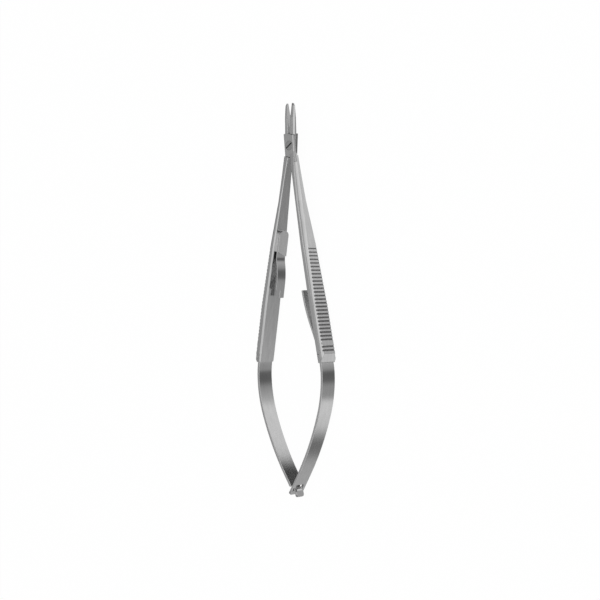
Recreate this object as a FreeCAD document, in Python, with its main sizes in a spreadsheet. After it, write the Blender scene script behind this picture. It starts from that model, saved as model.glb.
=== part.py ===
"""Surgical needle holder with leaf-spring handles and a catch lock, lying open on a table.

+Y runs along the instrument to the jaws, +Z is the pivot screw's axis, pointing up, and the
origin is the middle of the footprint on the table. Lengths are in millimetres.
"""

import FreeCAD, Part
import math
import os
import re
import Sketcher

Vector = FreeCAD.Vector
Placement = FreeCAD.Placement
Rotation = FreeCAD.Rotation

doc = FreeCAD.newDocument("NeedleHolder")
sheet = doc.addObject("Spreadsheet::Sheet", "Sizes")

# The driving sizes. Angles are in degrees.
DRIVING = {
    "rest_height": 3.95,
    "open_angle": 4.0,
    "pivot_reach": 15.1,
    "joint_depth": 2.4,
    "lap_half": 2.15,
    "lap_play": 0.04,
    "jaw_play": 0.02,
    "lap_chamfer": 0.14,
    "shoulder_reach": 4.35,
    "shoulder_slope": 13.0,
    "shoulder_gap": 0.15,
    "crotch_reach": 2.5,
    "arm_splay": 6.2,
    "neck_overlap": 0.3,
    "neck_inset": 0.5,
    "cut_past": 1.0,
    "screw_head": 1.6,
    "screw_head_depth": 0.7,
    "screw_shoulder": 1.2,
    "screw_thread": 1.0,
    "screw_play": 0.04,
    "screw_slot_width": 0.5,
    "screw_slot_depth": 0.3,
    "screw_slot_turn": 35.0,
    "groove_first": 35.5,
    "groove_pitch": 1.3,
    "groove_count": 26,
    "end_groove_back": 5.3,
    "end_groove_count": 2,
    "groove_width": 0.6,
    "groove_depth": 0.28,
    "butt_taper": 2.7,
    "butt_land": 0.25,
    "butt_nip": 0.35,
    "butt_nip_run": 1.6,
    "spring_thickness": 0.9,
    "spring_width": 6.7,
    "spring_seat": 0.9,
    "spring_slot": 3.0,
    "spring_exit_radius": 28.0,
    "spring_bow_radius": 44.6,
    "spring_bow_angle": 17.5,
    "spring_tail_radius": 97.4,
    "spring_tail_angle": 31.5,
    "hook_half": 1.25,
    "hook_head_half": 1.85,
    "hook_head_length": 1.9,
    "hook_head_round": 0.9,
    "hook_lead": 0.5,
    "hook_turn": 31.5,
    "hook_radius": 2.0,
    "hook_run": 1.7,
    "hook_neck": 1.1,
    "window_half": 2.1,
    "window_above": 1.7,
    "window_below": 0.95,
    "window_bar": 1.4,
    "window_end_round": 0.6,
    "plate_start": 27.75,
    "plate_end": 35.5,
    "plate_skew": 1.6,
    "plate_half": 2.3,
    "plate_round": 2.5,
    "plate_cover": 0.4,
    "leaf_seat": 0.6,
    "leaf_root": 30.5,
    "leaf_thickness": 0.4,
    "leaf_half": 2.2,
    "leaf_bend_radius": 18.4,
    "leaf_bend_angle": 16.4,
    "leaf_end": 49.1,
    "tab_end": 52.0,
    "tab_width": 2.2,
    "tongue_foot_end": 71.5,
    "tongue_bend": 62.0,
    "tongue_bend_rise": 1.95,
    "tongue_bend_radius": 60.0,
    "tongue_tip": 49.4,
    "tongue_rise": 3.25,
    "tongue_thickness": 0.7,
    "tongue_half": 2.5,
}

# Sections of the two forgings: how far along from the pivot, thickness away from the flat
# inner face, half of the height, outer corner, that corner's radius and the inner bevel.
SECTION_SIZES = ("at", "thick", "half", "corner", "round", "bevel")
JAW_SECTIONS = {
    "jaw_root": (-3.0, 2.1, 1.2, 0.8, 0.8, 0.1),
    "jaw_middle": (-10.0, 1.65, 1.05, 0.8, 0.8, 0.1),
    "jaw_fore": (-12.7, 1.4, 0.7, 0.62, 0.62, 0.1),
    "jaw_tip": (-14.3, 1.15, 0.5, 0.44, 0.44, 0.08),
    "jaw_end": (-15.1, 0.6, 0.3, 0.26, 0.26, 0.04),
}
SHANK_SECTIONS = {
    "neck": (3.0, 2.45, 1.2, 0.7, 0.7, 0.12),
    "shank": (10.0, 2.5, 1.8, 1.3, 1.3, 0.15),
    "middle": (20.0, 2.5, 2.4, 1.6, 1.6, 0.25),
    "grip": (36.0, 2.75, 3.4, 1.3, 1.6, 0.42),
    "handle": (58.0, 2.92, 4.0, 0.95, 1.5, 0.58),
}
HANDLE_SECTIONS = {
    "butt": (77.86, 2.92, 4.0, 0.95, 1.5, 0.58),
}

# Sizes worked out from the driving ones.
DERIVED = {
    "lap_face": "lap_play / 2",
    "lap_bottom": "joint_depth / 2",
    "lap_depth": "joint_depth / 2 - lap_play / 2",
    "recess_half": "shoulder_reach * cos(shoulder_slope * 1 deg)",
    "recess_side": "lap_half + cut_past",
    "recess_rise": "recess_side * tan(shoulder_slope * 1 deg)",
    "trim_slope": "shoulder_slope + 2 * open_angle",
    "trim_reach": "(recess_half - shoulder_gap) / cos(trim_slope * 1 deg)",
    "trim_drop": "lap_half * tan(trim_slope * 1 deg)",
    "neck_cover": "2 * neck_at",
    "neck_cover_in": "(neck_cover - crotch_reach) * tan(arm_splay * 1 deg) + neck_overlap",
    "neck_cover_out": "neck_cover_in + neck_thick - neck_inset",
    "crotch_in": "(trim_reach - crotch_reach) * tan(arm_splay * 1 deg) + lap_play",
    "butt_run": "(butt_at - crotch_reach) / cos(arm_splay * 1 deg)",
    "butt_outer": "butt_thick * cos(arm_splay * 1 deg)",
    "ground_top": "rest_height + cut_past",
    "ground_start": "grip_at",
    "ground_end": "butt_at + cut_past",
    "nip_start": "butt_at - butt_nip_run",
    "nip_half": "rest_height - butt_nip",
    "slot_inner": "spring_seat - spring_thickness / 2",
    "slot_outer": "spring_seat + spring_thickness / 2",
    "slot_floor": "butt_run - spring_slot",
    "past_butt": "butt_run + cut_past",
    "taper_start": "butt_run - butt_taper",
    "taper_inner": "slot_outer + butt_land",
    "past_outer": "butt_outer + cut_past",
    "groove_floor": "butt_outer - groove_depth",
    "groove_floor_half": "groove_width / 4",
    "groove_top": "butt_outer + groove_depth",
    "groove_top_half": "groove_width * 3 / 4",
    "groove_run": "(groove_count - 1) * groove_pitch",
    "end_groove_first": "butt_run - end_groove_back",
    "end_groove_run": "(end_groove_count - 1) * groove_pitch",
    "head_bore": "screw_head + screw_play",
    "shoulder_bore": "screw_shoulder + screw_play",
    "head_seat": "joint_depth / 2 - screw_head_depth - screw_play / 2",
    "screw_bottom": "joint_depth / 2",
    "screw_under_head": "joint_depth / 2 - screw_head_depth",
    "screw_slot_floor": "joint_depth / 2 - screw_slot_depth",
    "screw_slot_half": "screw_slot_width / 2",
    "screw_wide": "screw_head + cut_past",
    "plate_crown": "plate_start + plate_round - sqrt(plate_round ^ 2 - plate_half ^ 2)",
    "plate_far": "plate_end + plate_skew",
    "plate_depth": "leaf_seat + leaf_thickness + plate_cover",
    "leaf_back": "leaf_seat + leaf_thickness",
    "leaf_bend_run": "leaf_bend_radius * sin(leaf_bend_angle * 1 deg)",
    "leaf_bend_rise": "leaf_bend_radius * (1 - cos(leaf_bend_angle * 1 deg))",
    "leaf_turn_at": "plate_far + leaf_bend_run",
    "leaf_turn": "leaf_seat + leaf_bend_rise",
    "leaf_flat_at": "plate_far + 2 * leaf_bend_run",
    "leaf_rise": "leaf_seat + 2 * leaf_bend_rise",
    "leaf_slant_run": "leaf_thickness * sin(leaf_bend_angle * 1 deg)",
    "leaf_slant_rise": "leaf_thickness * cos(leaf_bend_angle * 1 deg)",
    "leaf_tight_radius": "leaf_bend_radius - leaf_thickness",
    "tab_inner": "leaf_half - tab_width",
    "past_leaf": "leaf_half + cut_past",
    "past_tab": "tab_end + cut_past",
    "tongue_foot": "tongue_foot_end - tongue_thickness * (tongue_foot_end - tongue_bend) / tongue_bend_rise",
    "tongue_inner_radius": "tongue_bend_radius - tongue_thickness",
}


def fill_sheet():
    """Write every size into the sheet: numbers first, then the formulas."""
    sizes = dict(DRIVING)
    for table in (JAW_SECTIONS, SHANK_SECTIONS, HANDLE_SECTIONS):
        for section, numbers in table.items():
            for size, number in zip(SECTION_SIZES, numbers):
                sizes[f"{section}_{size}"] = number
    for row, (name, number) in enumerate(sizes.items(), start=1):
        sheet.set(f"A{row}", name)
        sheet.set(f"B{row}", str(number))
        sheet.setAlias(f"B{row}", name)
    doc.recompute()
    formulas = dict(DERIVED)
    for table in (SHANK_SECTIONS, HANDLE_SECTIONS):
        for section in table:
            formulas[f"{section}_in"] = f"({section}_at - crotch_reach) * tan(arm_splay * 1 deg)"
    for section in JAW_SECTIONS:
        formulas[f"{section}_in"] = "jaw_play"
    for row, (name, formula) in enumerate(formulas.items(), start=1):
        sheet.set(f"D{row}", name)
        sheet.set(f"E{row}", f"={formula}")
        sheet.setAlias(f"E{row}", name)
    doc.recompute()


def reading(words):
    """Turn a signed sum of size names into its value and the expression that binds it."""
    value = 0.0
    expression = "0 mm"
    for sign, name in re.findall(r"([+-]?)\s*([a-z]\w*)", words):
        step = -1 if sign == "-" else 1
        value += step * float(sheet.get(name))
        expression += f" {sign or '+'} Sizes.{name} * 1 mm"
    return value, expression


def origin_plane(body, role):
    """Find one of a body's own origin planes."""
    return [plane for plane in body.Origin.OriginFeatures if plane.Role == role][0]


def new_sketch(body, name, role, shift=("", "", ""), turn=None):
    """Attach an empty sketch to an origin plane, moved and turned within it by named sizes."""
    sketch = body.newObject("Sketcher::SketchObject", name)
    sketch.AttachmentSupport = [(origin_plane(body, role), "")]
    sketch.MapMode = "FlatFace"
    for letter, words in zip("xyz", shift):
        if words:
            sketch.setExpression(f"AttachmentOffset.Base.{letter}", reading(words)[1])
    if turn:
        sketch.setExpression("AttachmentOffset.Rotation.Angle", turn)
    return sketch


def arc_between(start, end, radius, side):
    """The short arc from start to end, bulging to the right of its chord when side is 1."""
    chord = end - start
    half = chord.Length / 2
    sagitta = radius - math.sqrt(max(radius * radius - half * half, 0.0))
    normal = Vector(chord.y, -chord.x, 0).normalize()
    return Part.Arc(start, (start + end) * 0.5 + normal * (sagitta * side), end)


def draw_outline(sketch, corners):
    """Draw a closed outline whose corners are (x, y) or (x, y, radius, side) in size names.

    A corner with a radius starts an arc to the next corner; any other starts a line.
    """
    points = [Vector(reading(corner[0])[0], reading(corner[1])[0], 0) for corner in corners]
    ends = []
    for index, corner in enumerate(corners):
        start = points[index]
        end = points[(index + 1) % len(points)]
        if len(corner) == 4:
            piece = arc_between(start, end, reading(corner[2])[0], corner[3])
        else:
            piece = Part.LineSegment(start, end)
        line = sketch.addGeometry(piece, False)
        first_is_start = (sketch.getPoint(line, 1) - start).Length < 1e-6
        ends.append((line, 1, 2) if first_is_start else (line, 2, 1))
    for index, (line, _, last) in enumerate(ends):
        following, first, _ = ends[(index + 1) % len(ends)]
        sketch.addConstraint(Sketcher.Constraint("Coincident", line, last, following, first))
    for (line, first, _), point, corner in zip(ends, points, corners):
        for kind, value, words in (("DistanceX", point.x, corner[0]), ("DistanceY", point.y, corner[1])):
            place = sketch.addConstraint(Sketcher.Constraint(kind, -1, 1, line, first, value))
            sketch.setExpression(f"Constraints[{place}]", reading(words)[1])
        if len(corner) == 4:
            radius, expression = reading(corner[2])
            place = sketch.addConstraint(Sketcher.Constraint("Radius", line, radius))
            sketch.setExpression(f"Constraints[{place}]", expression)


def draw_circle(sketch, radius_words):
    """Draw a circle about the sketch's origin."""
    radius, expression = reading(radius_words)
    circle = Part.Circle(Vector(0, 0, 0), Vector(0, 0, 1), radius)
    line = sketch.addGeometry(circle, False)
    sketch.addConstraint(Sketcher.Constraint("Coincident", line, 3, -1, 1))
    place = sketch.addConstraint(Sketcher.Constraint("Radius", line, radius))
    sketch.setExpression(f"Constraints[{place}]", expression)


def section_sketch(body, section, side):
    """Draw one cross section of a forging: flat inside, bevelled, rounded outside."""
    inner, thick, half, corner, rounding, bevel = (
        f"{section}_{size}" for size in ("in", "thick", "half", "corner", "round", "bevel"))
    sketch = new_sketch(body, f"{section}_section", "XZ_Plane", ("", "", f"{section}_at"))
    out, back = ("+", "-") if side > 0 else ("-", "+")
    face = f"{out}{inner}"
    draw_outline(sketch, [
        (face, f"-{half} +{bevel}"),
        (face, f"{half} -{bevel}"),
        (f"{face} {out}{bevel}", half),
        (f"{face} {out}{thick} {back}{corner}", half, rounding, side),
        (f"{face} {out}{thick}", f"{half} -{corner}"),
        (f"{face} {out}{thick}", f"-{half} +{corner}", rounding, side),
        (f"{face} {out}{thick} {back}{corner}", f"-{half}"),
        (f"{face} {out}{bevel}", f"-{half}"),
    ])
    return sketch


def add_loft(body, name, sketches, ruled):
    """Loft through sketches and join the result to the body."""
    loft = body.newObject("PartDesign::AdditiveLoft", name)
    loft.Profile = sketches[0]
    loft.Sections = [(sketch, [""]) for sketch in sketches[1:]]
    loft.Ruled = ruled
    doc.recompute()
    return loft


def add_pad(body, name, sketch, length, reverse=False, both=False):
    """Pad a sketch by a named length."""
    pad = body.newObject("PartDesign::Pad", name)
    pad.Profile = sketch
    pad.setExpression("Length", reading(length)[1])
    pad.Reversed = reverse
    pad.Midplane = both
    doc.recompute()
    return pad


def add_pocket(body, name, sketch, length=None, reverse=False, both=False):
    """Pocket a sketch by a named length, or through everything."""
    before = body.Shape.Volume
    pocket = body.newObject("PartDesign::Pocket", name)
    pocket.Profile = sketch
    if length:
        pocket.setExpression("Length", reading(length)[1])
    else:
        pocket.Type = "ThroughAll"
    pocket.Reversed = reverse
    pocket.Midplane = both
    doc.recompute()
    if not body.Shape.Volume < before:
        raise RuntimeError(f"{name} cuts nothing")
    return pocket


def break_edges(body, name, corners, level, width):
    """Chamfer the edges that join successive corners of an outline at one level."""
    points = [Vector(reading(x)[0], reading(y)[0], reading(level)[0]) for x, y in corners]
    middles = [(start + end) * 0.5 for start, end in zip(points, points[1:])]
    edges = []
    for number, edge in enumerate(body.Shape.Edges, start=1):
        if any((edge.CenterOfMass - middle).Length < 1e-3 for middle in middles):
            edges.append(f"Edge{number}")
    if len(edges) != len(middles):
        raise RuntimeError(f"{name} found {len(edges)} of {len(middles)} edges")
    solid = body.Tip
    chamfer = body.newObject("PartDesign::Chamfer", name)
    chamfer.Base = (solid, edges)
    chamfer.setExpression("Size", reading(width)[1])
    doc.recompute()


def handle_sketch(body, name):
    """A sketch whose Y axis lies along the handle's flat inner face."""
    return new_sketch(body, name, "XY_Plane", ("", "-crotch_reach", ""), "-Sizes.arm_splay * 1 deg")


def add_grooves(body, name, first, count, run):
    """Cut a row of cross grooves into the handle's outer face, for the fingers."""
    sketch = handle_sketch(body, f"{name}_profile")
    draw_outline(sketch, [
        ("-groove_floor", f"-{first} -groove_floor_half"),
        ("-groove_floor", f"-{first} +groove_floor_half"),
        ("-groove_top", f"-{first} +groove_top_half"),
        ("-groove_top", f"-{first} -groove_top_half"),
    ])
    groove = add_pocket(body, name, sketch, both=True)
    row = body.newObject("PartDesign::LinearPattern", f"{name}_row")
    row.Originals = [groove]
    row.Direction = (sketch, ["V_Axis"])
    row.Reversed = True
    row.setExpression("Length", reading(run)[1])
    row.setExpression("Occurrences", f"Sizes.{count}")
    body.Tip = row
    doc.recompute()


def add_forging(name):
    """One half of the instrument, jaws closed: jaw on +X, lap below, arm leaving to -X."""
    body = doc.addObject("PartDesign::Body", name)
    lap = new_sketch(body, "lap_outline", "XY_Plane", ("", "", "-lap_face"))
    draw_outline(lap, [
        ("jaw_play", "trim_reach"),
        ("-lap_half", "trim_reach -trim_drop"),
        ("-lap_half", "-neck_at"),
        ("-neck_cover_out", "-neck_cover"),
        ("-neck_cover_in", "-neck_cover"),
        ("-crotch_in", "-trim_reach"),
        ("lap_half", "-trim_reach +trim_drop"),
        ("lap_half", "shoulder_reach"),
        ("jaw_play", "shoulder_reach"),
    ])
    add_pad(body, "lap", lap, "lap_depth", reverse=True)
    break_edges(body, "lap_front_break", [
        ("jaw_play", "trim_reach"),
        ("-lap_half", "trim_reach -trim_drop"),
        ("-lap_half", "-neck_at"),
    ], "-lap_bottom", "lap_chamfer")
    break_edges(body, "lap_rear_break", [
        ("-crotch_in", "-trim_reach"),
        ("lap_half", "-trim_reach +trim_drop"),
        ("lap_half", "shoulder_reach"),
    ], "-lap_bottom", "lap_chamfer")
    add_loft(body, "jaw", [section_sketch(body, section, 1) for section in JAW_SECTIONS], True)
    shank = [section_sketch(body, section, -1) for section in SHANK_SECTIONS]
    add_loft(body, "shank_loft", shank, True)
    butt = [section_sketch(body, section, -1) for section in HANDLE_SECTIONS]
    add_loft(body, "handle_loft", [shank[-1]] + butt, True)
    ground = new_sketch(body, "ground_outline", "YZ_Plane")
    for sign in ("", "-"):
        draw_outline(ground, [
            ("-ground_start", f"{sign}rest_height"),
            ("-nip_start", f"{sign}rest_height"),
            ("-ground_end", f"{sign}nip_half"),
            ("-ground_end", f"{sign}ground_top"),
            ("-ground_start", f"{sign}ground_top"),
        ])
    add_pocket(body, "ground_edges", ground, both=True)
    recess = new_sketch(body, "recess_outline", "XY_Plane", ("", "", "-lap_face"))
    draw_outline(recess, [
        ("-recess_side", "-shoulder_reach +recess_rise"),
        ("recess_side", "-shoulder_reach -recess_rise"),
        ("recess_side", "shoulder_reach -recess_rise"),
        ("-recess_side", "shoulder_reach +recess_rise"),
    ])
    add_pocket(body, "recess", recess, "joint_depth", reverse=True)
    slot = handle_sketch(body, "spring_slot_outline")
    draw_outline(slot, [
        ("-slot_outer", "-past_butt"),
        ("-slot_inner", "-past_butt"),
        ("-slot_inner", "-slot_floor"),
        ("-slot_outer", "-slot_floor"),
    ])
    add_pocket(body, "spring_slot", slot, both=True)
    taper = handle_sketch(body, "butt_taper_outline")
    draw_outline(taper, [
        ("-past_outer", "-taper_start"),
        ("-butt_outer", "-taper_start"),
        ("-taper_inner", "-butt_run"),
        ("-taper_inner", "-past_butt"),
        ("-past_outer", "-past_butt"),
    ])
    add_pocket(body, "butt_taper", taper, both=True)
    add_grooves(body, "grooves", "groove_first", "groove_count", "groove_run")
    add_grooves(body, "end_grooves", "end_groove_first", "end_groove_count", "end_groove_run")
    return body


def add_bore(body, name, radius, depth=None):
    """Bore the lap about the pivot, through or down to a seat from the outer face."""
    start = "-joint_depth" if depth else ""
    sketch = new_sketch(body, f"{name}_circle", "XY_Plane", ("", "", start))
    draw_circle(sketch, radius)
    if depth:
        return add_pocket(body, name, sketch, depth, reverse=True)
    return add_pocket(body, name, sketch, both=True)


def size(name):
    """A size's value from the sheet."""
    return float(sheet.get(name))


def forging_placement(side, forward):
    """Where a forging goes: the upper one is the lower one turned over about its length."""
    pivot = Vector(0, forward, size("rest_height"))
    over = Rotation() if side < 0 else Rotation(Vector(0, 1, 0), 180)
    opened = Rotation(Vector(0, 0, 1), side * size("open_angle"))
    return Placement(pivot, opened.multiply(over))


def handle_placement(side, forward):
    """The frame of one handle's flat inner face, with Y along it."""
    lean = Placement(Vector(0, -size("crotch_reach"), 0), Rotation(Vector(0, 0, 1), -size("arm_splay")))
    return forging_placement(side, forward).multiply(lean)


def spring_placement(side, forward):
    """The frame of a spring: the bottom of its slot, with -Y along the handle."""
    root = Placement(Vector(-size("spring_seat"), -size("slot_floor"), 0), Rotation())
    return handle_placement(side, forward).multiply(root)


def strip_outline(pieces, half):
    """Trace both edges of a strip that runs along tangent lines and arcs.

    Each piece is (length, None) for a line or (turn, radius) for an arc; the strip starts at
    the origin, heads along -Y, and a positive turn swings it towards +X.
    """
    place = Vector(0, 0, 0)
    heading = 0.0
    sides = ([], [])
    for amount, radius in pieces:
        along = Vector(math.sin(heading), -math.cos(heading), 0)
        across = Vector(math.cos(heading), math.sin(heading), 0)
        if radius is None:
            end = place + along * amount
            for edges, shift in zip(sides, (half, -half)):
                edges.append(Part.LineSegment(place + across * shift, end + across * shift))
            place = end
            continue
        turn = math.radians(amount)
        centre = place + across * math.copysign(radius, turn)
        middle_heading = heading + turn / 2
        end_heading = heading + turn
        for edges, shift in zip(sides, (half, -half)):
            reach = shift - math.copysign(radius, turn)
            corners = []
            for angle in (heading, middle_heading, end_heading):
                corners.append(centre + Vector(math.cos(angle), math.sin(angle), 0) * reach)
            edges.append(Part.Arc(*corners))
        place = centre - Vector(math.cos(end_heading), math.sin(end_heading), 0) * math.copysign(radius, turn)
        heading = end_heading
    return sides, place, heading


def strip_solid(pieces, thickness, width):
    """Extrude a strip's outline, centred on the plane z = 0, and return its end and heading."""
    sides, end, heading = strip_outline(pieces, thickness / 2)
    right = [piece.toShape() for piece in sides[0]]
    left = [piece.toShape() for piece in sides[1]]
    caps = [
        Part.LineSegment(sides[1][0].StartPoint, sides[0][0].StartPoint).toShape(),
        Part.LineSegment(sides[0][-1].EndPoint, sides[1][-1].EndPoint).toShape(),
    ]
    wire = Part.Wire(Part.__sortEdges__(right + left + caps))
    face = Part.Face(wire)
    face.translate(Vector(0, 0, -width / 2))
    solid = face.extrude(Vector(0, 0, width))
    return solid, end, heading


def bow_pieces():
    """The bowed part of a spring's run, from the bottom of its slot to its straight tail."""
    lean = size("arm_splay") + size("open_angle")
    return [
        (size("spring_slot"), None),
        (lean, size("spring_exit_radius")),
        (size("spring_bow_angle"), size("spring_bow_radius")),
        (size("spring_tail_angle") - size("spring_bow_angle"), size("spring_tail_radius")),
    ]


def hook_pieces():
    """The left spring's whole run: bow, tail to just past the crossing, and turned-back hook."""
    return bow_pieces() + [
        (tail_to_crossing() + size("hook_lead"), None),
        (-size("hook_turn"), size("hook_radius")),
        (size("hook_run"), None),
    ]


def tail_to_crossing():
    """The straight length that brings the strip's middle to the instrument's centre line."""
    _, end, heading = strip_outline(bow_pieces(), size("spring_thickness") / 2)
    lean = math.radians(size("arm_splay") + size("open_angle"))
    root = spring_placement(-1, 0.0).multVec(end)
    return -root.x / math.sin(heading - lean)


def middle_of_length():
    """How far the pivot lies ahead of the middle of the instrument's whole length."""
    front = size("pivot_reach") * math.cos(math.radians(size("open_angle")))
    sides, _, _ = strip_outline(hook_pieces(), size("spring_thickness") / 2)
    ends = [spring_placement(-1, 0.0).multVec(edges[-1].EndPoint).y for edges in sides]
    return -(front + min(ends)) / 2


def strip_box(end, heading, near, far, low, high):
    """A box right through the strip, between two distances past its end and two levels."""
    depth = 4 * size("spring_thickness")
    box = Part.makeBox(depth, far - near, high - low, Vector(-depth / 2, near, low))
    box.rotate(Vector(0, 0, 0), Vector(0, 0, 1), 180 + math.degrees(heading))
    box.translate(end)
    return box


def round_end(solid, end, heading, radius):
    """Round the corners of a strip's end."""
    along = Vector(math.sin(heading), -math.cos(heading), 0)
    corners = []
    for edge in solid.Edges:
        middle = edge.CenterOfMass - end
        level = abs(edge.Vertexes[0].Z - edge.Vertexes[-1].Z)
        if abs(middle.dot(along)) < 1e-3 and level < 1e-3 and edge.Length < 1.01 * size("spring_thickness"):
            corners.append(edge)
    return solid.makeFillet(radius, corners)


def add_solid(name, shape, placement):
    """Put a finished solid into the document at its place."""
    feature = doc.addObject("Part::Feature", name)
    feature.Label = name
    feature.Shape = shape
    feature.Placement = placement


def left_spring_shape():
    """The bowed strip that ends in a narrow hook with a wider head."""
    solid, end, heading = strip_solid(hook_pieces(), size("spring_thickness"), size("spring_width"))
    turned = size("hook_radius") * math.radians(size("hook_turn"))
    neck = size("hook_run") + turned + size("hook_lead") + size("hook_neck")
    past = size("cut_past")
    half = size("spring_width") / 2
    for near, far, keep in ((-neck, past, size("hook_head_half")),
                            (-neck, -size("hook_head_length"), size("hook_half"))):
        solid = solid.cut(strip_box(end, heading, near, far, keep, half + past))
        solid = solid.cut(strip_box(end, heading, near, far, -half - past, -keep))
    return round_end(solid, end, heading, size("hook_head_round"))


def right_spring_shape():
    """The bowed strip whose end has a window for the hook."""
    reach = size("window_below") + size("window_bar")
    pieces = bow_pieces() + [(tail_to_crossing() + reach, None)]
    solid, end, heading = strip_solid(pieces, size("spring_thickness"), size("spring_width"))
    half = size("window_half")
    window = strip_box(end, heading, -reach - size("window_above"), -size("window_bar"), -half, half)
    return round_end(solid.cut(window), end, heading, size("window_end_round"))


def add_screw():
    """The slotted pivot screw: flush head, plain shoulder, threaded end."""
    body = doc.addObject("PartDesign::Body", "pivot_screw")
    profile = new_sketch(body, "screw_profile", "XZ_Plane")
    draw_outline(profile, [
        ("", "-screw_bottom"),
        ("screw_thread", "-screw_bottom"),
        ("screw_thread", "-lap_face"),
        ("screw_shoulder", "-lap_face"),
        ("screw_shoulder", "screw_under_head"),
        ("screw_head", "screw_under_head"),
        ("screw_head", "screw_bottom"),
        ("", "screw_bottom"),
    ])
    turned = body.newObject("PartDesign::Revolution", "turned")
    turned.Profile = profile
    turned.ReferenceAxis = (profile, ["V_Axis"])
    turned.Angle = 360
    doc.recompute()
    slot = new_sketch(body, "slot_outline", "XY_Plane", ("", "", "screw_slot_floor"),
                      "Sizes.screw_slot_turn * 1 deg")
    draw_outline(slot, [
        ("-screw_wide", "-screw_slot_half"),
        ("screw_wide", "-screw_slot_half"),
        ("screw_wide", "screw_slot_half"),
        ("-screw_wide", "screw_slot_half"),
    ])
    add_pocket(body, "slot", slot, "joint_depth", reverse=True)
    body.Placement = Placement(Vector(0, pivot_y, size("rest_height")), Rotation())


def add_plate():
    """The raised clip with a round end and a skew end that holds the catch leaf in its slot."""
    body = doc.addObject("PartDesign::Body", "catch_plate")
    outline = new_sketch(body, "plate_outline", "YZ_Plane")
    draw_outline(outline, [
        ("-plate_end", "plate_half"),
        ("-plate_far", "-plate_half"),
        ("-plate_crown", "-plate_half", "plate_round", 1),
        ("-plate_crown", "plate_half"),
    ])
    add_pad(body, "plate", outline, "plate_depth")
    slot = new_sketch(body, "leaf_slot_outline", "XY_Plane")
    draw_outline(slot, [
        ("leaf_seat", "-leaf_root"),
        ("leaf_seat", "-plate_far -cut_past"),
        ("leaf_back", "-plate_far -cut_past"),
        ("leaf_back", "-leaf_root"),
    ])
    add_pocket(body, "leaf_slot", slot, both=True)
    body.Placement = handle_placement(-1, pivot_y)


def add_leaf():
    """The thin sprung leaf that stands off the handle and ends in a narrow tab."""
    body = doc.addObject("PartDesign::Body", "catch_leaf")
    profile = new_sketch(body, "leaf_profile", "XY_Plane")
    draw_outline(profile, [
        ("leaf_seat", "-leaf_root"),
        ("leaf_seat", "-plate_far", "leaf_bend_radius", 1),
        ("leaf_turn", "-leaf_turn_at", "leaf_tight_radius", -1),
        ("leaf_rise", "-leaf_flat_at"),
        ("leaf_rise", "-tab_end"),
        ("leaf_rise +leaf_thickness", "-tab_end"),
        ("leaf_rise +leaf_thickness", "-leaf_flat_at", "leaf_bend_radius", 1),
        ("leaf_turn +leaf_slant_rise", "-leaf_turn_at +leaf_slant_run", "leaf_tight_radius", -1),
        ("leaf_back", "-plate_far"),
        ("leaf_back", "-leaf_root"),
    ])
    add_pad(body, "leaf", profile, "leaf_half +leaf_half", both=True)
    narrow = new_sketch(body, "tab_outline", "YZ_Plane")
    draw_outline(narrow, [
        ("-leaf_end", "-tab_inner"),
        ("-past_tab", "-tab_inner"),
        ("-past_tab", "past_leaf"),
        ("-leaf_end", "past_leaf"),
    ])
    add_pocket(body, "tab", narrow, both=True)
    body.Placement = handle_placement(-1, pivot_y)


def add_tongue():
    """The arched tongue on the other handle that the leaf's tab snaps onto."""
    body = doc.addObject("PartDesign::Body", "lock_tongue")
    profile = new_sketch(body, "tongue_profile", "XY_Plane")
    draw_outline(profile, [
        ("", "-tongue_foot_end"),
        ("tongue_bend_rise", "-tongue_bend", "tongue_bend_radius", 1),
        ("tongue_rise", "-tongue_tip"),
        ("tongue_rise -tongue_thickness", "-tongue_tip", "tongue_inner_radius", -1),
        ("tongue_bend_rise -tongue_thickness", "-tongue_bend"),
        ("", "-tongue_foot"),
    ])
    add_pad(body, "tongue", profile, "tongue_half +tongue_half", both=True)
    body.Placement = handle_placement(1, pivot_y)


def write_parts():
    """Check every object, then write one file for each sub-part."""
    doc.recompute()
    for item in doc.Objects:
        if {"Invalid", "Error"} & set(item.State):
            raise RuntimeError(f"{item.Name} failed: {item.State}")
    os.makedirs("parts", exist_ok=True)
    for item in doc.Objects:
        if item.TypeId not in ("PartDesign::Body", "Part::Feature"):
            continue
        shape = item.Shape
        if shape.isNull() or not shape.isValid():
            raise RuntimeError(f"{item.Label} has no valid shape")
        box = shape.BoundBox
        print(f"{item.Label}: {len(shape.Solids)} solid, {shape.Volume:.1f} mm3, "
              f"x {box.XMin:.2f} {box.XMax:.2f} y {box.YMin:.2f} {box.YMax:.2f} "
              f"z {box.ZMin:.2f} {box.ZMax:.2f}")
        shape.exportStep(f"parts/{item.Label}.step")


fill_sheet()
pivot_y = middle_of_length()

lower_half = add_forging("lower_half")
add_bore(lower_half, "screw_hole", "screw_thread")
lower_half.Placement = forging_placement(-1, pivot_y)

upper_half = add_forging("upper_half")
add_bore(upper_half, "shoulder_hole", "shoulder_bore")
add_bore(upper_half, "head_hole", "head_bore", "joint_depth -head_seat")
upper_half.Placement = forging_placement(1, pivot_y)

add_screw()
add_solid("left_spring", left_spring_shape(), spring_placement(-1, pivot_y))
add_solid("right_spring", right_spring_shape(), spring_placement(1, pivot_y))
add_plate()
add_leaf()
add_tongue()
write_parts()
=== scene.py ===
# %% [markdown]
# # A micro-surgery needle holder
# The instrument is 140 mm of forged and brushed stainless steel that lies open on a white
# table. Its rigid pieces come from the frame at their real size and only need a finish. The
# bowed springs and the catch leaf bend when the handles close, which a solid from CAD can't
# do, so those three are modelled here.

# %% Load the frame
import math

import bmesh
import bpy
from mathutils import Matrix, Vector


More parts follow.
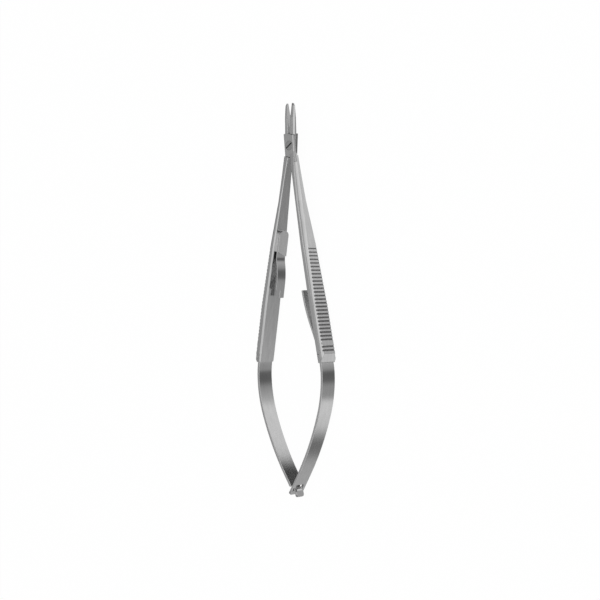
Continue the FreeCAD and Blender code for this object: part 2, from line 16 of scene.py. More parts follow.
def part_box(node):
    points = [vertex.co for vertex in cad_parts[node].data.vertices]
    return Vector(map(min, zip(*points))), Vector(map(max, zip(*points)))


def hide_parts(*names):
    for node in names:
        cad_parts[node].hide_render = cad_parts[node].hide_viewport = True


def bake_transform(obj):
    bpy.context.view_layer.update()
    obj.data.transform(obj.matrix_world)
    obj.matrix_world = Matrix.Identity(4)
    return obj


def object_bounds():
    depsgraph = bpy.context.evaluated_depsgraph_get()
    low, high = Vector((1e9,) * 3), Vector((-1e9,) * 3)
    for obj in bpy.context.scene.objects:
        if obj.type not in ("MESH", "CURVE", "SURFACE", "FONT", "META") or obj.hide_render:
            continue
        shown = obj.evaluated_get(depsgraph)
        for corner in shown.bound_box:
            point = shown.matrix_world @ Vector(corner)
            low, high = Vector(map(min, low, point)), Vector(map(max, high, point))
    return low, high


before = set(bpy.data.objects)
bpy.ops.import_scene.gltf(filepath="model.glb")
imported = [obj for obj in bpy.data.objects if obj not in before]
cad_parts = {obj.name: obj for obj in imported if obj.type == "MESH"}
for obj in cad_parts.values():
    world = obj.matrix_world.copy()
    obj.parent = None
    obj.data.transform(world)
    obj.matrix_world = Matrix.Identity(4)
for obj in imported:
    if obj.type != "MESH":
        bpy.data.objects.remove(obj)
cad_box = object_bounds()
MM = 0.001
print("pieces from the frame:", sorted(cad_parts))

# %% [markdown]
# ## Helpers for finishes
# A finish is a tree of small nodes. Making and linking each one takes several lines that hide
# what the finish does, so one function adds any node with its settings and links. Colours are
# read off a screen, which bends them for the eye, while a shader wants them straight, so a
# second function turns them.

# %% Colour and node helpers


def linear(hex_colour):
    """Turn an sRGB hex colour such as "c8cacc" into linear red, green, blue and alpha."""
    channels = [int(hex_colour[place:place + 2], 16) / 255 for place in (0, 2, 4)]
    bent = [c / 12.92 if c <= 0.04045 else ((c + 0.055) / 1.055) ** 2.4 for c in channels]
    return (*bent, 1.0)


def add_node(tree, kind, inputs=None, **settings):
    """Add a node, set its properties, and set or link its inputs by name or number."""
    node = tree.nodes.new(kind)
    for name, value in settings.items():
        setattr(node, name, value)
    for socket, value in (inputs or {}).items():
        if isinstance(value, bpy.types.NodeSocket):
            tree.links.new(value, node.inputs[socket])
        else:
            node.inputs[socket].default_value = value
    return node


print("middle grey on a screen is", round(linear("808080")[0], 3), "in a shader")

# %% [markdown]
# ## Where the handles stand
# Two forgings turn about one screw. At rest each is opened by 4 degrees, and its handle leans
# out from its jaw by another 6.2. Grooves, springs and leaf are all made along a handle, so
# their sizes are given in the handle's own frame, and a matrix carries them over. Their final
# coordinates could be typed in instead, but then nothing would show where they come from.

# %% Handle frames
LEFT, RIGHT = -1, 1
PIVOT = Vector((0, 54.97, 3.95)) * MM
OPEN_ANGLE = 4.0
SHANK_ANGLE = 6.2
HANDLE_LEAN = OPEN_ANGLE + SHANK_ANGLE
ARM_START = 2.5 * MM


def handle_frame(side):
    """The frame of a handle's inner face: Y towards the jaws, X inwards, Z down on the right."""
    opened = Matrix.Translation(PIVOT) @ Matrix.Rotation(math.radians(side * OPEN_ANGLE), 4, "Z")
    if side == RIGHT:
        opened = opened @ Matrix.Rotation(math.pi, 4, "Y")
    arm = opened @ Matrix.Translation((0, -ARM_START, 0))
    return arm @ Matrix.Rotation(math.radians(-SHANK_ANGLE), 4, "Z")


for side in (LEFT, RIGHT):
    print("handle starts at", [round(v / MM, 2) for v in handle_frame(side).translation], "mm")

# %% [markdown]
# ## Brushed stainless steel
# The forgings are ground and then brushed along their length. The fine lines that this leaves
# spread each reflection across the grain and give the steel its soft grey sheen. An image
# texture could hold such lines, but noise that is stretched along the handle needs no file
# and keeps its real scale. The lines tilt the surface a little and vary its roughness, larger
# clouds vary its tone, and the Bevel node rounds off the edges that hands have worn.

# %% Brushed steel
# Real brush lines lie a few hundredths of a millimetre apart, too fine to show in the
# render. They are drawn coarser here, so that the grain can be seen.
BRUSH_PITCH = 0.12 * MM
BRUSH_STRETCH = 0.02
BRUSH_DETAIL, BRUSH_SOFTNESS = 3.0, 0.6
BRUSH_DEPTH = 0.01 * MM
BRUSH_STRENGTH = 0.25
CLOUD_PITCH = 1.0 * MM
CLOUD_DETAIL = 2.0
SMOOTHER, ROUGHER = 0.06, 0.08
EDGE_WEAR = 0.09 * MM
WEAR_SAMPLES = 4


def brushed_steel(name, bright, dark, roughness, turn=0.0):
    """Brushed steel whose grain runs along Y, turned about Z by an angle in degrees."""
    material = bpy.data.materials.new(name)
    material.use_nodes = True
    tree = material.node_tree
    shader = tree.nodes["Principled BSDF"]
    place = add_node(tree, "ShaderNodeTexCoord")
    along_grain = add_node(tree, "ShaderNodeMapping", {
        "Vector": place.outputs["Object"], "Rotation": (0.0, 0.0, math.radians(turn)),
        "Scale": (1.0, BRUSH_STRETCH, 1.0)})
    grain = add_node(tree, "ShaderNodeTexNoise", {
        "Vector": along_grain.outputs[0], "Scale": 1 / BRUSH_PITCH,
        "Detail": BRUSH_DETAIL, "Roughness": BRUSH_SOFTNESS})
    cloud = add_node(tree, "ShaderNodeTexNoise", {
        "Vector": along_grain.outputs[0], "Scale": 1 / CLOUD_PITCH, "Detail": CLOUD_DETAIL})
    tone = add_node(tree, "ShaderNodeMix", {
        "Factor": cloud.outputs[0], "A": linear(dark), "B": linear(bright)}, data_type="RGBA")
    rough = add_node(tree, "ShaderNodeMapRange", {
        "Value": grain.outputs[0], "To Min": roughness - SMOOTHER,
        "To Max": roughness + ROUGHER})
    edge = add_node(tree, "ShaderNodeBevel", {"Radius": EDGE_WEAR}, samples=WEAR_SAMPLES)
    lines = add_node(tree, "ShaderNodeBump", {
        "Height": grain.outputs[0], "Strength": BRUSH_STRENGTH, "Distance": BRUSH_DEPTH,
        "Normal": edge.outputs[0]})
    shader.inputs["Metallic"].default_value = 1.0
    tree.links.new(tone.outputs["Result"], shader.inputs["Base Color"])
    tree.links.new(rough.outputs[0], shader.inputs["Roughness"])
    tree.links.new(lines.outputs[0], shader.inputs["Normal"])
    return material


def shade_and_dull(material, mask, colour, roughness=None):
    """Where a mask is 1, give a finish another colour, which here is a painted shade, and, if
    told, another roughness.
    """
    tree = material.node_tree
    shader = tree.nodes["Principled BSDF"]
    changes = [("Base Color", linear(colour), "RGBA")]
    if roughness is not None:
        changes.append(("Roughness", roughness, "FLOAT"))
    for name, value, kind in changes:
        plain = shader.inputs[name].links[0].from_socket
        changed = add_node(tree, "ShaderNodeMix", {"Factor": mask, "A": plain, "B": value},
                           data_type=kind)
        tree.links.new(changed.outputs["Result"], shader.inputs[name])


def dress(node, material):
    """Give a piece of the frame its finish."""
    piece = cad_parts[node]
    piece.data.materials.clear()
    piece.data.materials.append(material)


print("grain", round(BRUSH_PITCH / MM, 2), "mm wide,", round(1 / BRUSH_STRETCH), "times as long")

# %% [markdown]
# ## Cross grooves
# The fingers grip a row of grooves that is ground across each handle. The brush never reaches
# their floors, so those stay rough; their darker grey is painted shade in the grooves. The
# grooves themselves are in the CAD pieces, and only their finish is missing. Their faces could be
# picked one by one for a second material, but a CAD mesh is many loose triangles, so a mask finds
# the grooves again from their real pitch, width and depth.

# %% Groove finish
GRIP_AT, HANDLE_AT = 33.5 * MM, 55.5 * MM
GRIP_OUTER, HANDLE_OUTER = 2.71 * MM, 2.88 * MM
GROOVE_FLOOR = 2.6 * MM
GROOVE_FIRST = 35.5 * MM
GROOVE_PITCH = 1.3 * MM
GROOVE_HALF = 0.36 * MM
GROOVE_ROW_MIDDLE, GROOVE_ROW_HALF = -53.6 * MM, 18.6 * MM
# Painted shade: the darker grey that the groove floors get.
GROOVE_PAINTED_SHADE = "8a8a8a"
GROOVE_ROUGHNESS = 0.45


def groove_mask(tree, side):
    """1 inside the cross grooves of one handle and 0 elsewhere, with X outwards from it."""
    place = add_node(tree, "ShaderNodeTexCoord")
    on_handle = add_node(tree, "ShaderNodeMapping", {
        "Vector": place.outputs["Object"], "Location": handle_frame(side).translation,
        "Rotation": (0.0, 0.0, math.radians(side * HANDLE_LEAN)),
        "Scale": (side, 1.0, 1.0)}, vector_type="TEXTURE")
    split = add_node(tree, "ShaderNodeSeparateXYZ", {0: on_handle.outputs[0]})
    outwards, along = split.outputs["X"], split.outputs["Y"]
    # The outer face lies a little further out at HANDLE_AT than at GRIP_AT.
    face = add_node(tree, "ShaderNodeMapRange", {
        "Value": along, "From Min": -GRIP_AT, "From Max": -HANDLE_AT,
        "To Min": GRIP_OUTER, "To Max": HANDLE_OUTER})
    under_face = add_node(tree, "ShaderNodeMath", {0: outwards, 1: face.outputs[0]},
                          operation="LESS_THAN")
    over_floor = add_node(tree, "ShaderNodeMath", {0: outwards, 1: GROOVE_FLOOR},
                          operation="GREATER_THAN")
    # Wrapping folds the whole row onto its first groove.
    folded = add_node(tree, "ShaderNodeMath", {
        0: along, 1: GROOVE_PITCH / 2 - GROOVE_FIRST, 2: -GROOVE_PITCH / 2 - GROOVE_FIRST},
        operation="WRAP")
    in_groove = add_node(tree, "ShaderNodeMath", {
        0: folded.outputs[0], 1: -GROOVE_FIRST, 2: GROOVE_HALF}, operation="COMPARE")
    in_row = add_node(tree, "ShaderNodeMath", {
        0: along, 1: GROOVE_ROW_MIDDLE, 2: GROOVE_ROW_HALF}, operation="COMPARE")
    mask = under_face.outputs[0]
    for limit in (over_floor, in_row, in_groove):
        both = add_node(tree, "ShaderNodeMath", {0: mask, 1: limit.outputs[0]},
                        operation="MULTIPLY")
        mask = both.outputs[0]
    return mask


STEEL_ROUGHNESS = 0.2
for side, turn, name, node in (
        (LEFT, HANDLE_LEAN, "brushed_steel_left", "lower_half"),
        (RIGHT, -HANDLE_LEAN, "brushed_steel_right", "upper_half")):
    # Ground and brushed stainless steel: an even mid grey with a soft streak along the handle.
    steel = brushed_steel(name, "cfcfcf", "b9b9b9", STEEL_ROUGHNESS, turn)
    # The groove floors get a rougher finish and a darker grey, which is painted shade.
    shade_and_dull(steel, groove_mask(steel.node_tree, side), GROOVE_PAINTED_SHADE, GROOVE_ROUGHNESS)
    dress(node, steel)
    print(node, "wears", name)

# %% [markdown]
# ## Clip, tongue and screw
# The clip and the tongue are small stampings, brazed to the handles and polished a little
# brighter. The screw is turned, so it is a shade darker and rougher, and its slot is milled; the
# slot's floor is painted a darker grey, which is painted shade. The slot needs no faces picked
# out either: everything on the screw that lies lower than its top face is slot.

# %% Small parts' finish
SCREW_ROUGHNESS = 0.28
SLOT_SHADE = 0.06 * MM
# Painted shade: the dark grey of the slot's floor.
SLOT_PAINTED_SHADE = "585858"
# Stamped and polished stainless steel: the brightest pieces, with a fine soft grain.
clip_steel = brushed_steel("brushed_steel_clip", "eaeaea", "dadada", STEEL_ROUGHNESS,
                           HANDLE_LEAN)
tongue_steel = brushed_steel("brushed_steel_tongue", "dedede", "cccccc", STEEL_ROUGHNESS,
                             -HANDLE_LEAN)
# Turned stainless steel: a little darker and softer than the brushed faces around it.
screw_steel = brushed_steel("turned_steel", "bdbdbd", "a8a8a8", SCREW_ROUGHNESS)
tree = screw_steel.node_tree
place = add_node(tree, "ShaderNodeTexCoord")
split = add_node(tree, "ShaderNodeSeparateXYZ", {0: place.outputs["Object"]})
slot_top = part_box("pivot_screw")[1].z - SLOT_SHADE
in_slot = add_node(tree, "ShaderNodeMath", {0: split.outputs["Z"], 1: slot_top},
                   operation="LESS_THAN")
# The slot's floor is painted dark grey: painted shade in the slot.
shade_and_dull(screw_steel, in_slot.outputs[0], SLOT_PAINTED_SHADE)
dress("catch_plate", clip_steel)
dress("lock_tongue", tongue_steel)
dress("pivot_screw", screw_steel)
print("the screw is dull below", round(slot_top / MM, 2), "mm")

# %% [markdown]
# ## Picking faces and edges
# Blender's modelling operators act on what is selected. By hand a face or an edge is clicked;
# a script picks it by its place or its direction, which still finds it after a size changes.

# %% Selecting in edit mode
# Two places closer than this are taken as the same.
TOUCH = 0.01 * MM


def edit(piece):
    """Select only this piece and open it for editing."""
    bpy.ops.object.select_all(action="DESELECT")
    piece.select_set(True)
    bpy.context.view_layer.objects.active = piece
    bpy.ops.object.mode_set(mode="EDIT")


def select_faces(piece, wanted):
    """In edit mode, select the faces whose middle passes a test."""
    bpy.ops.mesh.select_mode(type="FACE")
    bpy.ops.mesh.select_all(action="DESELECT")
    mesh = bmesh.from_edit_mesh(piece.data)
    for face in mesh.faces:
        face.select_set(wanted(face.calc_center_median(), face))
    bmesh.update_edit_mesh(piece.data)


def select_edges(piece, wanted):
    """In edit mode, select the edges whose two ends pass a test."""
    bpy.ops.mesh.select_mode(type="EDGE")
    bpy.ops.mesh.select_all(action="DESELECT")
    mesh = bmesh.from_edit_mesh(piece.data)
    for edge in mesh.edges:
        edge.select_set(wanted(edge.verts[0].co, edge.verts[1].co))
    bmesh.update_edit_mesh(piece.data)
    print(piece.name, sum(edge.select for edge in mesh.edges), "edges selected")


# %% [markdown]
# ## Strips of spring steel
# Each spring is one flat strip, cut from sheet, bent and tempered. It could be drawn as a
# curve with a thickness, but the strips change width and carry a hook and a window. So a
# strip starts as its own cross section: the face is extruded for a straight run and spun
# about a centre for a bend, which keeps its thickness even all the way along. A small class
# keeps count of where the end face is and which way it looks.

# %% Strips
SHOULDER = 0.2 * MM
MERGE_BELOW = 0.0005 * MM
BEVEL_STEPS = 2
BEVEL_ABOVE = 40.0
# The bevel turns in steps of 30 degrees. They stay sharp, or they would bend the shading of
# the flat faces beside them.
SMOOTH_BELOW = 20.0


class Strip:
    """A strip that grows from its end face, in the plane z = 0, heading along -Y at first."""

    def __init__(self, name, thickness, width):
        bpy.ops.object.select_all(action="DESELECT")
        bpy.ops.mesh.primitive_plane_add(size=1, rotation=(math.pi / 2, 0, 0))
        self.piece = bpy.context.object
        self.piece.name = name
        self.piece.scale = (thickness, 1, 1)
        bpy.ops.object.transform_apply(location=False, rotation=True, scale=False)
        self.piece.scale = (thickness, 1, width)
        bpy.ops.object.transform_apply(location=False, rotation=False, scale=True)
        self.place = Vector((0, 0, 0))
        self.heading = 0.0
        edit(self.piece)
        bpy.ops.mesh.select_all(action="SELECT")

    def along(self):
        """The direction in which the strip grows."""
        return Vector((math.sin(self.heading), -math.cos(self.heading), 0))

    def across(self):
        """The direction through the strip's thickness."""
        return Vector((math.cos(self.heading), math.sin(self.heading), 0))

    def straight(self, length):
        """Extrude the end face straight on."""
        step = self.along() * length
        bpy.ops.mesh.extrude_region_move(TRANSFORM_OT_translate={"value": step})
        self.place = self.place + step

    def bend(self, degrees, radius, step):
        """Spin the end face about a centre beside it; a positive bend turns towards +X."""
        turn = math.radians(degrees)
        side = self.across() * math.copysign(radius, turn)
        centre = self.place + side
        # The spin operator counts its angle the other way round.
        bpy.ops.mesh.spin(steps=max(2, math.ceil(abs(degrees) / step)), angle=-turn,
                          center=centre, axis=(0, 0, 1))
        self.heading += turn
        self.place = centre - self.across() * math.copysign(radius, turn)

    def resize(self, height, level=0.0):
        """Step the end face to another height and level over a short shoulder."""
        self.straight(SHOULDER)
        mesh = bmesh.from_edit_mesh(self.piece.data)
        for vertex in mesh.verts:
            if vertex.select:
                vertex.co.z = level + math.copysign(height / 2, vertex.co.z - level)
        bmesh.update_edit_mesh(self.piece.data)

    def round_end(self, radius, steps):
        """Round the two corners of the end face, seen from the strip's broad side."""
        end, way = self.place.copy(), self.along()
        select_edges(self.piece, lambda a, b: abs((a - end).dot(way)) < TOUCH
                     and abs((b - end).dot(way)) < TOUCH and abs(a.z - b.z) < TOUCH)
        bpy.ops.mesh.bevel(offset=radius, segments=steps)

    def finish(self, edge_width):
        """Tidy the faces, break every sharp edge and shade it smooth."""
        bpy.ops.mesh.select_all(action="SELECT")
        bpy.ops.mesh.remove_doubles(threshold=MERGE_BELOW)
        bpy.ops.mesh.normals_make_consistent(inside=False)
        bpy.ops.object.mode_set(mode="OBJECT")
        bevel = self.piece.modifiers.new("broken_edges", "BEVEL")
        bevel.width = edge_width
        bevel.segments = BEVEL_STEPS
        bevel.limit_method = "ANGLE"
        bevel.angle_limit = math.radians(BEVEL_ABOVE)
        bpy.ops.object.modifier_apply(modifier=bevel.name)
        bpy.ops.object.shade_smooth_by_angle(angle=math.radians(SMOOTH_BELOW))
        print(self.piece.name, len(self.piece.data.polygons), "faces")
        return self.piece


# %% [markdown]
# ## The bowed springs
# The strip leaves the slot at the end of its handle, straightens up and then bows back to the
# centre line, where the left one hooks through a window in the right one. Both are the same
# up to their tails, so one function makes that part, and only the two ends differ.

# %% Shared part of the springs
ARM_RUN = 75.80 * MM
SPRING_SEAT = 0.9 * MM
SLOT_DEPTH = 3.0 * MM
SPRING_THICKNESS = 0.9 * MM
SPRING_WIDTH = 6.7 * MM
EXIT_RADIUS = 28.0 * MM
BOW_ANGLE, BOW_RADIUS = 17.5, 44.6 * MM
TAIL_ANGLE, TAIL_RADIUS = 14.0, 97.4 * MM
BOW_STEP, TAIL_STEP = 1.0, 0.7
SPRING_EDGE = 0.08 * MM


def spring_frame(side):
    """The bottom of the slot that the spring is brazed into."""
    return handle_frame(side) @ Matrix.Translation((-SPRING_SEAT, -(ARM_RUN - SLOT_DEPTH), 0))


def bow(name):
    """The part both springs share, from the slot to the start of the straight tail."""
    strip = Strip(name, SPRING_THICKNESS, SPRING_WIDTH)
    strip.straight(SLOT_DEPTH)
    strip.bend(HANDLE_LEAN, EXIT_RADIUS, BOW_STEP)
    strip.bend(BOW_ANGLE, BOW_RADIUS, BOW_STEP)
    strip.bend(TAIL_ANGLE, TAIL_RADIUS, TAIL_STEP)
    return strip


def tail_to_crossing(strip):
    """How far the straight tail runs until the strip's middle meets the centre line."""
    meeting = spring_frame(LEFT) @ strip.place
    way = spring_frame(LEFT).to_3x3() @ strip.along()
    return -meeting.x / way.x


print("springs start at y", round(spring_frame(LEFT).translation.y / MM, 2), "mm")

# %% [markdown]
# ## The left spring's hook
# The tail narrows to a neck that passes through the window, turns back a little and ends in
# a wider round head, which can't slip out again. In the CAD piece the hook turns by 31.5
# degrees. Here it turns by 20, which comes closer to how the head looks in the photograph.

# %% Left spring
HOOK_NECK = 1.1 * MM
HOOK_LEAD = 0.5 * MM
HOOK_WIDTH = 2.5 * MM
HOOK_TURN, HOOK_RADIUS, HOOK_STEP = 20.0, 2.0 * MM, 3.0
HEAD_WIDTH = 3.7 * MM
HEAD_LENGTH = 2.05 * MM
HEAD_ROUND, HEAD_STEPS = 0.9 * MM, 6
strip = bow("left_bow")
tail = tail_to_crossing(strip)
crossing = spring_frame(LEFT) @ (strip.place + strip.along() * tail)
strip.straight(tail - HOOK_NECK)
strip.resize(HOOK_WIDTH)
strip.straight(HOOK_NECK + HOOK_LEAD - SHOULDER)
strip.bend(-HOOK_TURN, HOOK_RADIUS, HOOK_STEP)
strip.resize(HEAD_WIDTH)
strip.straight(HEAD_LENGTH - SHOULDER)
strip.round_end(HEAD_ROUND, HEAD_STEPS)
left_bow = strip.finish(SPRING_EDGE)
left_bow.data.transform(spring_frame(LEFT))
print("the springs cross at", [round(v / MM, 2) for v in crossing], "mm")

# %% [markdown]
# ## The right spring's window
# The window is punched through the flat tail. A boolean would cut it, but leaves stray
# triangles, so it is made as by hand: the tail is cut along the window's two long sides, the
# faces inside it are picked on both broad sides, and bridging them opens the hole and gives
# it its walls. Its corners are rounded last.

# %% Right spring
WINDOW_ABOVE = 1.7 * MM
WINDOW_BELOW = 0.95 * MM
WINDOW_BAR = 1.4 * MM
WINDOW_HALF = 2.1 * MM
WINDOW_ROUND, WINDOW_STEPS = 0.7 * MM, 4
END_ROUND, END_STEPS = 0.6 * MM, 4
# A broad face belongs to the window if its middle is well inside it. The faces that look
# along the tail are the strip's end and don't count.
WELL_INSIDE = 0.9
FACING_ASIDE = 0.3
strip = bow("right_bow")
tail = tail_to_crossing(strip)
strip.straight(tail - WINDOW_ABOVE)
window_start = strip.place.copy()
strip.straight(WINDOW_ABOVE + WINDOW_BELOW)
window_end = strip.place.copy()
strip.straight(WINDOW_BAR)
strip.round_end(END_ROUND, END_STEPS)
for level in (-WINDOW_HALF, WINDOW_HALF):
    bpy.ops.mesh.select_all(action="SELECT")
    bpy.ops.mesh.bisect(plane_co=(0, 0, level), plane_no=(0, 0, 1))
way = strip.along()
middle = (window_start + window_end) / 2
reach = (window_end - window_start).length / 2


def from_middle(point):
    """How far a point lies from the window's middle, measured along the tail."""
    return abs((point - middle).dot(way))


select_faces(strip.piece, lambda centre, face: abs(centre.z) < WINDOW_HALF
             and from_middle(centre) < reach * WELL_INSIDE
             and abs(face.normal.dot(way)) < FACING_ASIDE)
bpy.ops.mesh.bridge_edge_loops()
select_edges(strip.piece, lambda a, b: abs(abs(a.z) - WINDOW_HALF) < TOUCH
             and abs(a.z - b.z) < TOUCH and abs((a - b).dot(way)) < TOUCH
             and abs(from_middle((a + b) / 2) - reach) < TOUCH)
bpy.ops.mesh.bevel(offset=WINDOW_ROUND, segments=WINDOW_STEPS)
right_bow = strip.finish(SPRING_EDGE)
right_bow.data.transform(spring_frame(RIGHT))
print("window", round(2 * reach / MM, 2), "by", round(2 * WINDOW_HALF / MM, 2), "mm")

# %% [markdown]
# ## The catch leaf
# A thin leaf lies in the slot of its clip, rises off the handle in an S and ends in a narrow
# tab, which the fingers press over the tongue to lock the jaws. The CAD leaf bends evenly.
# Here it leaves the clip in a tight bend and comes back in a wide one, which puts the bright
# and dark bands on it where the photograph has them.

# %% Leaf
LEAF_THICKNESS = 0.4 * MM
LEAF_WIDTH = 4.4 * MM
LEAF_SEAT = 0.8 * MM
LEAF_ROOT, LEAF_CLIP_END = 30.5 * MM, 37.1 * MM
LEAF_BEND = 16.4
LEAF_RADIUS_OUT, LEAF_STEP_OUT = 8.0 * MM, 1.5
LEAF_RADIUS_BACK, LEAF_STEP_BACK = 28.4 * MM, 1.0
TAB_START, TAB_END = 49.1 * MM, 52.0 * MM
TAB_WIDTH = 2.2 * MM
LEAF_EDGE = 0.05 * MM
strip = Strip("catch_leaf_strip", LEAF_THICKNESS, LEAF_WIDTH)
strip.straight(LEAF_CLIP_END - LEAF_ROOT)
strip.bend(LEAF_BEND, LEAF_RADIUS_OUT, LEAF_STEP_OUT)
strip.bend(-LEAF_BEND, LEAF_RADIUS_BACK, LEAF_STEP_BACK)
print("the leaf stands", round(strip.place.x / MM, 2), "mm off its seat")
strip.straight(TAB_START - LEAF_ROOT + strip.place.y)
strip.resize(TAB_WIDTH, -TAB_WIDTH / 2)
strip.straight(TAB_END - TAB_START - SHOULDER)
leaf = strip.finish(LEAF_EDGE)
leaf.data.transform(handle_frame(LEFT) @ Matrix.Translation((LEAF_SEAT, -LEAF_ROOT, 0)))

# %% [markdown]
# ## The strips in the CAD pieces' place
# Closing the jaws turns each spring about the end of its handle. On the real instrument the strip
# bends all along its bow, so it can't just ride on one body, and the leaf bends between its clip
# and its tab. Here the CAD springs and leaf are hidden, the strips take their place with the
# spring steel's finish, and the strips' extents are printed beside the solids'.

# %% Swap in and finish the strips
SPRING_ROUGHNESS = 0.13
# Tempered and fine brushed spring steel: smoother than the handles, so it mirrors the room in
# clear bright and dark bands.
spring_steel = brushed_steel("spring_steel", "d2d2d2", "c0c0c0", SPRING_ROUGHNESS)
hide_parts("left_spring")
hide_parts("right_spring")
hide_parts("catch_leaf")
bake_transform(left_bow)
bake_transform(right_bow)
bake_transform(leaf)
for piece, node in ((left_bow, "left_spring"), (right_bow, "right_spring"), (leaf, "catch_leaf")):
    piece.data.materials.clear()
    piece.data.materials.append(spring_steel)
    corners = [vertex.co for vertex in piece.data.vertices]
    for axis, letter in enumerate("xyz"):
        low, high = min(c[axis] for c in corners), max(c[axis] for c in corners)
        solid = [round(corner[axis] / MM, 2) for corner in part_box(node)]
        print(piece.name, letter, [round(low / MM, 2), round(high / MM, 2)], "solid", solid)

# %% [markdown]
# ## The table
# The instrument lies on glass over white paper, as small metal parts often do in a studio.
# To the camera the paper is plain white with a faint shadow. A mirror ray from the polished
# steel passes through the glass instead and meets what stands below it, which gives the
# upright faces of the handles and springs something to show. An opaque white table would
# make all of them the same flat white. Light Path tells the two kinds of ray apart.

# %% Table
TABLE_HALF = 2.0
PAPER_WHITE = "b4b4b4"
PAPER_ROUGHNESS = 0.9
TABLE_GLOW = 1.2
GLOW_SHARE = 0.8
bpy.ops.object.select_all(action="DESELECT")
bpy.ops.mesh.primitive_plane_add(size=2 * TABLE_HALF, location=(0, 0, 0))
table = bpy.context.object
table.name = "table"
# White paper under clear glass: matt and bright, with no gloss of its own.
paper = bpy.data.materials.new("glass_table_on_white_paper")
paper.use_nodes = True
tree = paper.node_tree
shader = tree.nodes["Principled BSDF"]
shader.inputs["Base Color"].default_value = linear(PAPER_WHITE)
shader.inputs["Roughness"].default_value = PAPER_ROUGHNESS
shader.inputs["Specular IOR Level"].default_value = 0.0
ray = add_node(tree, "ShaderNodeLightPath")
seen = add_node(tree, "ShaderNodeMath", {0: ray.outputs["Is Camera Ray"], 1: GLOW_SHARE},
                operation="MULTIPLY")
white = add_node(tree, "ShaderNodeEmission", {"Color": (1, 1, 1, 1), "Strength": TABLE_GLOW})
visible = add_node(tree, "ShaderNodeMixShader", {
    0: seen.outputs[0], 1: shader.outputs[0], 2: white.outputs[0]})
mirrored = add_node(tree, "ShaderNodeMath", {
    0: ray.outputs["Is Glossy Ray"], 1: ray.outputs["Is Transmission Ray"]},
    operation="MAXIMUM")
clear = add_node(tree, "ShaderNodeBsdfTransparent")
glass = add_node(tree, "ShaderNodeMixShader", {
    0: mirrored.outputs[0], 1: visible.outputs[0], 2: clear.outputs[0]})
tree.links.new(glass.outputs[0], tree.nodes["Material Output"].inputs["Surface"])
table.data.materials.append(paper)
print("table", 2 * TABLE_HALF, "m wide")

# %% [markdown]
# ## What the steel reflects
# Bright steel shows little but its surroundings, so the room is where its look comes from.
# Two light strips lie under the glass across the instrument, one towards the jaws and one
# towards the hook, with a dim gap between them and darker rims. As a spring bows, its face
# sweeps past them and shows each as a band. Soft boxes could be modelled for this, but a
# colour ramp in the world is quicker, and each band can be moved by one number.

# %% Room below the table
STRIP_SPAN = 0.7
# Brightness under the glass, against how far a mirrored view leans along the instrument.
STRIPS = ((-0.64, 0.56), (-0.595, 0.56), (-0.57, 0.2), (-0.53, 0.18), (-0.48, 0.85),
          (-0.31, 0.92), (-0.26, 0.4), (-0.14, 0.42), (-0.1, 0.17), (0.02, 0.15),
          (0.07, 0.4), (0.2, 0.6), (0.27, 0.92), (0.49, 0.88), (0.51, 0.02), (0.66, 0.02))
world = bpy.data.worlds.new("studio")
bpy.context.scene.world = world
world.use_nodes = True
tree = world.node_tree
way = add_node(tree, "ShaderNodeTexCoord")
split = add_node(tree, "ShaderNodeSeparateXYZ", {0: way.outputs["Generated"]})
lean = add_node(tree, "ShaderNodeMapRange", {
    "Value": split.outputs["Y"], "From Min": -STRIP_SPAN, "From Max": STRIP_SPAN})
below = add_node(tree, "ShaderNodeValToRGB", {"Fac": lean.outputs[0]})
ramp = below.color_ramp
for place, brightness in STRIPS:
    stop = ramp.elements.new((place + STRIP_SPAN) / (2 * STRIP_SPAN))
    stop.color = (brightness, brightness, brightness, 1.0)
# A new ramp has a black first stop and a white last one, which go.
for spare in (ramp.elements[-1], ramp.elements[0]):
    ramp.elements.remove(spare)
print("strips:", [(round(stop.position, 3), round(stop.color[0], 2)) for stop in ramp.elements])

# %% [markdown]
# ## The room above the table
# The faces that look up mirror a room that brightens evenly from its floor to a soft light
# overhead, a little to the right. One direction and a smooth ramp give that without an edge
# that would show in the steel. Only mirror rays see the room: matt surfaces get an even fill,
# and the camera sees plain white behind the table.

# %% Room above the table
BRIGHT_SIDE = (0.35, 0.0, 0.94)
ROOM_FROM, ROOM_TO = 0.06, 0.9
ROOM_DARK, ROOM_LIGHT = 0.07, 0.92
HORIZON_BLUR = 0.15
ROOM_FILL = 0.35
height = add_node(tree, "ShaderNodeVectorMath", {0: way.outputs["Generated"], 1: BRIGHT_SIDE},
                  operation="DOT_PRODUCT")
above = add_node(tree, "ShaderNodeMapRange", {
    "Value": height.outputs["Value"], "From Min": ROOM_FROM, "From Max": ROOM_TO,
    "To Min": ROOM_DARK, "To Max": ROOM_LIGHT}, interpolation_type="SMOOTHSTEP")
horizon = add_node(tree, "ShaderNodeMapRange", {
    "Value": split.outputs["Z"], "From Min": -HORIZON_BLUR, "From Max": HORIZON_BLUR})
room = add_node(tree, "ShaderNodeMix", {
    "Factor": horizon.outputs[0], "A": below.outputs["Color"], "B": above.outputs[0]},
    data_type="FLOAT")
ray = add_node(tree, "ShaderNodeLightPath")
mirrored = add_node(tree, "ShaderNodeMath", {
    0: ray.outputs["Is Glossy Ray"], 1: ray.outputs["Is Transmission Ray"]},
    operation="MAXIMUM")
lit = add_node(tree, "ShaderNodeMix", {
    "Factor": mirrored.outputs[0], "A": ROOM_FILL, "B": room.outputs["Result"]},
    data_type="FLOAT")
level = add_node(tree, "ShaderNodeMix", {
    "Factor": ray.outputs["Is Camera Ray"], "A": lit.outputs["Result"], "B": 1.0},
    data_type="FLOAT")
background = tree.nodes["Background"]
background.inputs["Color"].default_value = (1, 1, 1, 1)
tree.links.new(level.outputs["Result"], background.inputs["Strength"])
print("room from", ROOM_DARK, "to", ROOM_LIGHT, "with a fill of", ROOM_FILL)

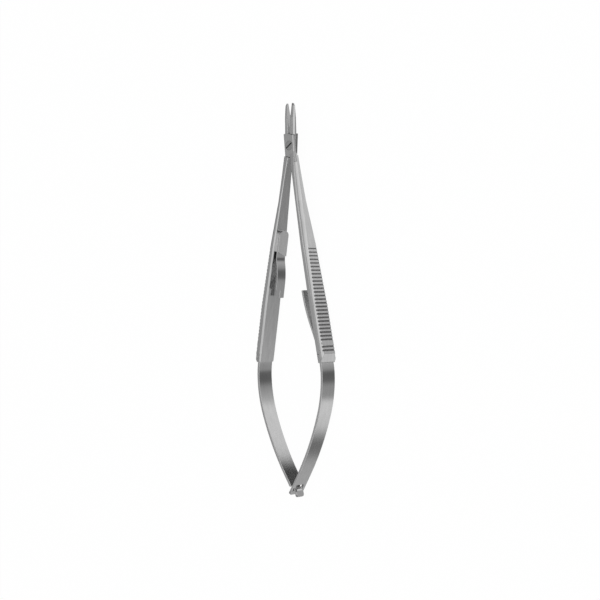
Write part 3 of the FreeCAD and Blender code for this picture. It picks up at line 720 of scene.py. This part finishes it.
# %% [markdown]
# ## Lamps
# Two soft boxes add the shadow under the instrument and a soft glint along its edges: one
# above it and one to its right. They are dim, because the room already lights the steel.

# %% Lamps
LAMP_LEVEL = 0.2
TOP_LIGHT_AT, TOP_LIGHT_SIZE = (0.02, 0.0, 0.6), 0.55
RIGHT_LIGHT_AT, RIGHT_LIGHT_SIZE = (0.5, 0.1, 0.4), 0.3


def add_lamp(name, place, size):
    """A square soft box that points at the middle of the instrument."""
    lamp = bpy.data.lights.new(name, "AREA")
    lamp.size = size
    lamp.energy = LAMP_LEVEL * math.pi * size * size
    holder = bpy.data.objects.new(name, lamp)
    bpy.context.scene.collection.objects.link(holder)
    holder.location = place
    holder.rotation_mode = "QUATERNION"
    holder.rotation_quaternion = (-Vector(place)).to_track_quat("-Z", "Y")
    print(name, round(lamp.energy, 3), "W")


add_lamp("top_light", TOP_LIGHT_AT, TOP_LIGHT_SIZE)
add_lamp("right_light", RIGHT_LIGHT_AT, RIGHT_LIGHT_SIZE)

# %% [markdown]
# ## Camera
# The photograph looks down on the instrument from its right, 41 degrees off the vertical,
# with its length upright in the frame and leaning by about a degree. The lens is worked out
# from the distance and from how many pixels a millimetre fills, so the render has the
# photograph's scale as well as its view.

# %% Camera
PIXELS_PER_MM = 2.81
FRAME_PIXELS = 600
CAMERA_TILT = 41.0
CAMERA_DISTANCE = 0.55
# In pixels: how far the instrument's axis lies to the left of the picture's middle.
AXIS_OFFSET = 5.9
LEAN = 1.15
SENSOR = 36.0
CLIP_START = 0.01
tilt = math.radians(CAMERA_TILT)
back = Vector((math.sin(tilt), 0, math.cos(tilt)))
right = Vector((math.cos(tilt), 0, -math.sin(tilt)))
middle_height = (cad_box[0].z + cad_box[1].z) / 2
aim = Vector((0, 0, middle_height)) + right * (AXIS_OFFSET / PIXELS_PER_MM * MM)
up = Vector((0, 1, 0)) * math.cos(math.radians(LEAN)) + right * math.sin(math.radians(LEAN))
side = up.cross(back)
camera_data = bpy.data.cameras.new("camera")
camera_data.sensor_width = SENSOR
camera_data.lens = SENSOR * CAMERA_DISTANCE / (FRAME_PIXELS / PIXELS_PER_MM * MM)
camera_data.clip_start = CLIP_START
camera = bpy.data.objects.new("camera", camera_data)
bpy.context.scene.collection.objects.link(camera)
camera.matrix_world = Matrix((
    (side.x, up.x, back.x, 0), (side.y, up.y, back.y, 0), (side.z, up.z, back.z, 0),
    (0, 0, 0, 1)))
camera.location = aim + back * CAMERA_DISTANCE
bpy.context.scene.camera = camera
bpy.context.scene.view_settings.view_transform = "Standard"
print("lens", round(camera_data.lens, 1))
